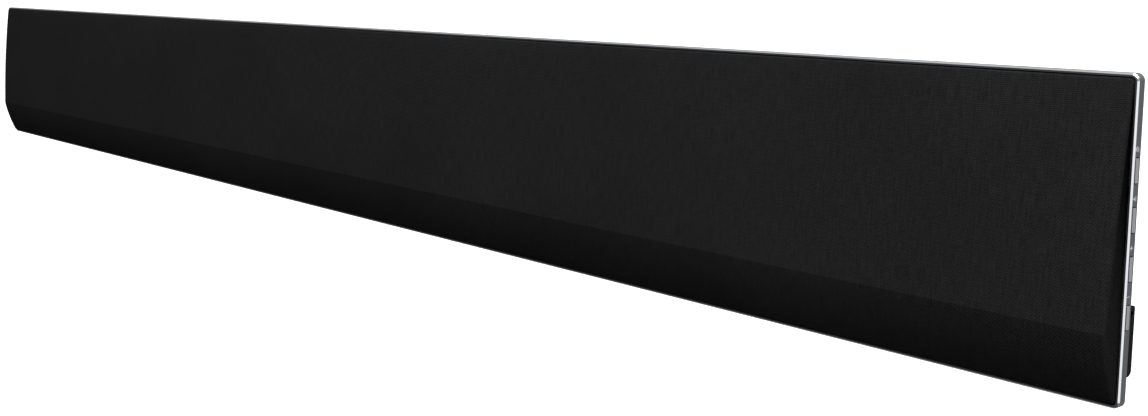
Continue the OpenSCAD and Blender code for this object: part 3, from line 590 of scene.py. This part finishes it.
def flat_arc(bm, centre, radius, width, start, end, steps=20):
    """A flat curved stroke, angles in degrees."""
    centre = Vector(centre)
    rows = []
    for i in range(steps + 1):
        a = math.radians(start + (end - start) * i / steps)
        way = Vector((math.cos(a), math.sin(a)))
        rows.append([bm.verts.new((*(centre + way * (radius + s * width / 2)), 0)) for s in (-1, 1)])
    for p, q in zip(rows, rows[1:]):
        bm.faces.new([p[0], p[1], q[1], q[0]])


def draw_mark(bm, kind, size):
    """One generic mark: power, source, plus or minus."""
    r, line = size / 2, size * 0.16
    if kind == "power_key":
        flat_arc(bm, (0, 0), r * 0.9, line, 125, 415)
        flat_bar(bm, (0, r * 0.15), (0, r * 1.1), line)
    elif kind == "source_key":
        flat_bar(bm, (-r, 0), (r * 0.25, 0), line)
        flat_bar(bm, (-r * 0.3, r * 0.55), (r * 0.3, 0), line)
        flat_bar(bm, (-r * 0.3, -r * 0.55), (r * 0.3, 0), line)
        flat_arc(bm, (0, 0), r * 1.05, line, -60, 60, 10)
    else:
        flat_bar(bm, (-r, 0), (r, 0), line)
        if kind == "volume_up_key":
            flat_bar(bm, (0, -r), (0, -line / 2), line)
            flat_bar(bm, (0, line / 2), (0, r), line)


class SOUNDBAR_OT_marks(bpy.types.Operator):
    """Prints the generic mark above each key"""
    bl_idname = "soundbar.marks"
    bl_label = "Key marks"

    def execute(self, context):
        ink = printed_white()
        size, rise, film = 2.1 * MM, 9.2 * MM, 0.03 * MM
        for key in KEYS:
            low, high, _ = size_of(key)
            bm = bmesh.new()
            draw_mark(bm, key, size)
            grown = bmesh.ops.extrude_face_region(bm, geom=bm.faces[:])
            lifted = [g for g in grown["geom"] if isinstance(g, bmesh.types.BMVert)]
            bmesh.ops.translate(bm, verts=lifted, vec=(0, 0, film))
            centre_z = (low.z + high.z) / 2 + rise
            centre_y = (low.y + high.y) / 2
            for vert in bm.verts:
                across, up, out = vert.co
                vert.co = (BAND_HIGH.x + out, centre_y + across, centre_z + up)
            bmesh.ops.recalc_face_normals(bm, faces=bm.faces)
            mesh = bpy.data.meshes.new(key.replace("_key", "_mark"))
            bm.to_mesh(mesh)
            bm.free()
            piece(mesh.name, mesh, ink, CHASSIS)
        return {"FINISHED"}


# ---------------------------------------------------------------- rear housing and its vents

def group_input(tree, name, kind, default):
    """Adds a named input to a geometry tree."""
    socket = tree.interface.new_socket(name=name, in_out="INPUT", socket_type=kind)
    if default is not None:
        socket.default_value = default
    return socket


def wire_mesh_tree():
    """Geometry tree: a net of crossed wires over a rectangle in the X-Z plane."""
    tree = bpy.data.node_groups.new("wire_net", "GeometryNodeTree")
    sizes = {"Width": NET_WIDTH, "Height": NET_HEIGHT, "Pitch": NET_PITCH, "Wire": NET_WIRE}
    for name, value in sizes.items():
        group_input(tree, name, "NodeSocketFloat", value)
    group_input(tree, "Centre", "NodeSocketVector", None)
    group_input(tree, "Material", "NodeSocketMaterial", None)
    tree.interface.new_socket(name="Geometry", in_out="OUTPUT", socket_type="NodeSocketGeometry")
    given = add_node(tree, "NodeGroupInput").outputs

    nets = []
    for upright in (True, False):
        run = given["Width"] if upright else given["Height"]
        other = given["Height"] if upright else given["Width"]
        count = maths(tree, "FLOOR", maths(tree, "DIVIDE", run, given["Pitch"]))
        start = maths(tree, "MULTIPLY", run, -0.5)
        # The level wires lie one wire behind the upright ones
        shift = maths(tree, "MULTIPLY", given["Wire"], 0.0 if upright else 1.0)
        step = given["Pitch"]
        thick = given["Wire"]
        line = add_node(tree, "GeometryNodeMeshLine", {"mode": "OFFSET"}, {
            "Count": count,
            "Start Location": joined_vector(tree, *((start, shift, 0.0) if upright else (0.0, shift, start))),
            "Offset": joined_vector(tree, *((step, 0.0, 0.0) if upright else (0.0, 0.0, step)))})
        wire = add_node(tree, "GeometryNodeMeshCube", None, {
            "Size": joined_vector(tree, *((thick, thick, other) if upright else (other, thick, thick)))})
        laid = add_node(tree, "GeometryNodeInstanceOnPoints", None,
                        {"Points": line.outputs["Mesh"], "Instance": wire.outputs["Mesh"]})
        nets.append(laid.outputs["Instances"])
    joined = add_node(tree, "GeometryNodeJoinGeometry")
    for net in nets:
        tree.links.new(net, joined.inputs["Geometry"])
    moved = add_node(tree, "GeometryNodeTransform", None,
                     {"Geometry": joined.outputs["Geometry"], "Translation": given["Centre"]})
    real = add_node(tree, "GeometryNodeRealizeInstances", None, {"Geometry": moved.outputs["Geometry"]})
    painted = add_node(tree, "GeometryNodeSetMaterial", None,
                       {"Geometry": real.outputs["Geometry"], "Material": given["Material"]})
    add_node(tree, "NodeGroupOutput", None, {"Geometry": painted.outputs["Geometry"]})
    return tree


def bake_tree(name, tree, values, body):
    """Runs a geometry tree with the named values and keeps its result as a plain mesh on a body."""
    seed = bpy.data.objects.new(name + "_maker", bpy.data.meshes.new(name + "_maker"))
    bpy.context.scene.collection.objects.link(seed)
    maker = seed.modifiers.new("maker", "NODES")
    maker.node_group = tree
    for item in tree.interface.items_tree:
        if item.in_out == "INPUT" and item.name in values:
            maker[item.identifier] = values[item.name]
    evaluated = seed.evaluated_get(bpy.context.evaluated_depsgraph_get())
    mesh = bpy.data.meshes.new_from_object(evaluated)
    mesh.name = name
    seed.modifiers.remove(maker)
    bpy.data.objects.remove(seed)
    piece(name, mesh, None, body)


class SOUNDBAR_OT_housing(bpy.types.Operator):
    """Finishes the rear housing, the baffle and the cable bay's panel"""
    bl_idname = "soundbar.housing"
    bl_label = "Rear housing"

    def execute(self, context):
        dress(moulded_plastic("spark_textured_abs", "#1c1d1f", 0.58, 0.8, 0.03), *HOUSINGS)
        dress(moulded_plastic("port_panel_abs", "#202124", 0.5, 0.5), "port_panel")
        dress(moulded_plastic("baffle_abs", "#161718", 0.62, 0.8), "baffle")
        return {"FINISHED"}


class SOUNDBAR_OT_vents(bpy.types.Operator):
    """Lays a woven wire net behind each row of vent slots"""
    bl_idname = "soundbar.vents"
    bl_label = "Vent nets"

    def execute(self, context):
        wire = satin_metal("black_steel_wire", "#3a3b3e", 0.5)
        tree = wire_mesh_tree()
        net_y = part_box("port_panel")[1].y - NET_BEHIND_PANEL
        for name, board in (("vent_net_right", "main_board"), ("vent_net_left", "amplifier_board")):
            low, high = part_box(board)
            centre = Vector(((low.x + high.x) / 2, net_y, high.z - NET_BELOW_BOARD_TOP))
            values = {"Width": NET_WIDTH, "Height": NET_HEIGHT, "Pitch": NET_PITCH, "Wire": NET_WIRE,
                      "Centre": centre, "Material": wire}
            bake_tree(name, tree, values, CHASSIS)
        return {"FINISHED"}


# ---------------------------------------------------------------- wall fittings and fasteners

class SOUNDBAR_OT_fittings(bpy.types.Operator):
    """Finishes the wall spacers, their pads and the keyhole plates"""
    bl_idname = "soundbar.fittings"
    bl_label = "Wall fittings"

    def execute(self, context):
        dress(moulded_plastic("wall_spacer_nylon", "#111213", 0.75, 0.5, 0.015, shine=0.12),
              "wall_spacer_left", "wall_spacer_right")
        dress(soft_rubber("silicone_pads", "#101112"), "spacer_pads")
        dress(satin_metal("zinc_plated_steel", "#b4b6b8", 0.32, brushed=(1200.0, 1200.0, 60.0)),
              "hang_plates")
        return {"FINISHED"}


class SOUNDBAR_OT_fasteners(bpy.types.Operator):
    """Finishes every group of screws"""
    bl_idname = "soundbar.fasteners"
    bl_label = "Screws"

    def execute(self, context):
        dress(satin_metal("black_zinc_screws", "#33353a", 0.4),
              "frame_screws", "baffle_screws", "driver_screws", "rear_screws")
        dress(satin_metal("bright_zinc_screws", "#a9abaf", 0.3), "board_screws")
        return {"FINISHED"}


# ---------------------------------------------------------------- electronics and drivers

class SOUNDBAR_OT_electronics(bpy.types.Operator):
    """Finishes the boards and the sockets"""
    bl_idname = "soundbar.electronics"
    bl_label = "Boards and sockets"

    def execute(self, context):
        dress(solder_resist(), "main_board", "amplifier_board", "key_board")
        tin = satin_metal("tinned_steel_shells", "#c4c6c9", 0.24)
        dress(tin, "av_sockets", "usb_socket", "wireless_module")
        dress(moulded_plastic("socket_pbt", "#121314", 0.4, 0.4, 0.01), "dc_inlet", "optical_socket")
        dress(moulded_plastic("display_acrylic", "#0c0d10", 0.2, 1.5, 0.004), "display_board")
        return {"FINISHED"}


class SOUNDBAR_OT_drivers(bpy.types.Operator):
    """Finishes the woofers and tweeters"""
    bl_idname = "soundbar.drivers"
    bl_label = "Drivers"

    def execute(self, context):
        basket = satin_metal("black_coated_steel", "#2a2b2e", 0.5)
        magnet = satin_metal("zinc_plated_magnet", "#94969a", 0.35)
        pulp = pressed_pulp()
        foam = soft_rubber("butyl_surround", "#141415")
        plate = moulded_plastic("tweeter_plate_abs", "#18191b", 0.45, 0.6)
        dome = satin_metal("formed_aluminium_dome", "#a8abb0", 0.3)
        for i in WOOFERS:
            dress(basket, f"woofer_{i}_basket")
            dress(magnet, f"woofer_{i}_magnet")
            dress(pulp, f"woofer_{i}_cone")
            dress(foam, f"woofer_{i}_suspension")
        for i in TWEETERS:
            dress(plate, f"tweeter_{i}_body")
            dress(dome, f"tweeter_{i}_dome")
        return {"FINISHED"}


# ---------------------------------------------------------------- stage

def studio_world(world):
    """Pale backdrop for the camera, and a dim even studio for everything that reflects it."""
    world.use_nodes = True
    tree = world.node_tree
    tree.nodes.clear()
    seen = add_node(tree, "ShaderNodeBackground", {"Color": linear("#f8f8f8"), "Strength": 1.0})
    way = add_node(tree, "ShaderNodeTexCoord")
    parts = add_node(tree, "ShaderNodeSeparateXYZ", None, {0: way.outputs["Generated"]})
    above = ramp_value(tree, parts.outputs["Z"], 0.0, 0.8, 0.12, 0.55)
    below = ramp_value(tree, parts.outputs["Z"], -0.9, -0.5, 0.16, 0.0)
    behind = ramp_value(tree, parts.outputs["Y"], 0.1, 0.5, 0.0, 0.3)
    lift = maths(tree, "ADD", maths(tree, "ADD", above, below), behind)
    room = add_node(tree, "ShaderNodeBackground", {"Color": linear("#f8f8f8")}, {"Strength": lift})
    path = add_node(tree, "ShaderNodeLightPath")
    mixed = add_node(tree, "ShaderNodeMixShader", None, {
        0: path.outputs["Is Camera Ray"], 1: room.outputs[0], 2: seen.outputs[0]})
    add_node(tree, "ShaderNodeOutputWorld", None, {"Surface": mixed.outputs[0]})


def painted_floor(settings):
    """Matt painted studio floor, pale, with the faint mottle of a rolled coat."""
    material, tree = new_material("matt_painted_floor")
    vector, _ = object_place(tree)
    mottle = noise(tree, vector, 3.0, 3.0)
    base = linear(settings.floor)
    soft = [c * 0.985 for c in base[:3]] + [1.0]
    tint = between(tree, mottle, soft, base)
    # Lit from below like a light table, so that it stays pale where the lamps fall off
    finish_material(tree, {"Roughness": 0.9, "Specular IOR Level": 0.1, "Emission Strength": 0.55},
                    {"Base Color": tint, "Emission Color": tint})
    return material


def soft_box(name, place, aim, size, power):
    """A rectangular soft light at a place, turned to a point."""
    light = bpy.data.lights.new(name, "AREA")
    light.shape = "RECTANGLE"
    light.size, light.size_y = size
    light.energy = power
    obj = bpy.data.objects.new(name, light)
    obj.location = place
    obj.rotation_euler = (Vector(aim) - Vector(place)).to_track_quat("-Z", "Y").to_euler()
    bpy.context.scene.collection.objects.link(obj)


class SOUNDBAR_OT_stage(bpy.types.Operator):
    """Makes the camera, the pale floor and the studio light"""
    bl_idname = "soundbar.stage"
    bl_label = "Stage"

    def execute(self, context):
        settings = context.scene.soundbar_stage
        scene = context.scene
        camera = bpy.data.objects.new("camera", bpy.data.cameras.new("camera"))
        camera.data.sensor_fit = "HORIZONTAL"
        camera.data.sensor_width = CAMERA_SENSOR
        camera.data.lens = CAMERA_LENS
        camera.data.clip_start = NEAREST_SEEN
        camera.location = (CAMERA_X, BAND_LOW.y - CAMERA_AHEAD, BAND_LOW.z + CAMERA_ABOVE)
        camera.rotation_euler = (math.pi / 2 - CAMERA_DIP, 0.0, CAMERA_TURN)
        scene.collection.objects.link(camera)
        scene.camera = camera
        floor_mesh = bpy.data.meshes.new("floor")
        reach = FLOOR_REACH
        level = CAD_BOX[0].z - settings.drop
        floor_mesh.from_pydata([(-reach, -reach, level), (reach, -reach, level), (reach, reach, level),
                                (-reach, reach, level)], [], [(0, 1, 2, 3)])
        floor_mesh.materials.append(painted_floor(settings))
        floor = bpy.data.objects.new("floor", floor_mesh)
        scene.collection.objects.link(floor)
        # A black flag under the bar: the floor is seen, but throws no light back up
        floor.visible_diffuse = False
        floor.visible_glossy = False
        sun = bpy.data.lights.new("overhead_front", "SUN")
        sun.energy = settings.key_strength
        sun.angle = math.radians(KEY_ANGLE)
        lamp = bpy.data.objects.new("overhead_front", sun)
        lamp.rotation_euler = Vector(KEY_DIRECTION).to_track_quat("-Z", "Y").to_euler()
        scene.collection.objects.link(lamp)
        # The cloth grows lighter towards this box
        soft_box("side_box", (1.6, -1.1, 2.2), (0.5, 0, 0), (1.5, 1.5), settings.side_power)
        # A low box that only shows in the band's cut edge
        soft_box("edge_box", (3.2, -1.5, -0.5), (0.72, 0, -0.03), (1.2, 1.8), settings.edge_power)
        world = bpy.data.worlds.new("studio")
        scene.world = world
        studio_world(world)
        scene.view_settings.view_transform = "Standard"
        return {"FINISHED"}


# ---------------------------------------------------------------- panel and registration

OPERATORS = [SOUNDBAR_OT_stage, SOUNDBAR_OT_cloth, SOUNDBAR_OT_metal, SOUNDBAR_OT_marks, SOUNDBAR_OT_housing,
             SOUNDBAR_OT_vents, SOUNDBAR_OT_fittings, SOUNDBAR_OT_fasteners, SOUNDBAR_OT_electronics,
             SOUNDBAR_OT_drivers]
GROUPS = {"soundbar_cloth": SoundbarCloth, "soundbar_metal": SoundbarMetal, "soundbar_stage": SoundbarStage}


class SOUNDBAR_PT_panel(bpy.types.Panel):
    """Lists the soundbar's settings and pieces"""
    bl_idname = "SOUNDBAR_PT_panel"
    bl_label = "Soundbar"
    bl_space_type = "VIEW_3D"
    bl_region_type = "UI"
    bl_category = "Soundbar"

    def draw(self, context):
        for attribute, group in GROUPS.items():
            box = self.layout.box()
            box.label(text=group.__doc__)
            for name in group.__annotations__:
                box.prop(getattr(context.scene, attribute), name)
        for operator in OPERATORS:
            self.layout.operator(operator.bl_idname)


def register():
    for group in GROUPS.values():
        bpy.utils.register_class(group)
    for attribute, group in GROUPS.items():
        setattr(bpy.types.Scene, attribute, bpy.props.PointerProperty(type=group))
    for cls in (*OPERATORS, SOUNDBAR_PT_panel):
        bpy.utils.register_class(cls)


def unregister():
    for cls in (SOUNDBAR_PT_panel, *reversed(OPERATORS)):
        bpy.utils.unregister_class(cls)
    for attribute, group in GROUPS.items():
        delattr(bpy.types.Scene, attribute)
        bpy.utils.unregister_class(group)


def main():
    register()
    for operator in OPERATORS:
        module, name = operator.bl_idname.split(".")
        getattr(getattr(bpy.ops, module), name)()


if __name__ == "__main__":
    main()
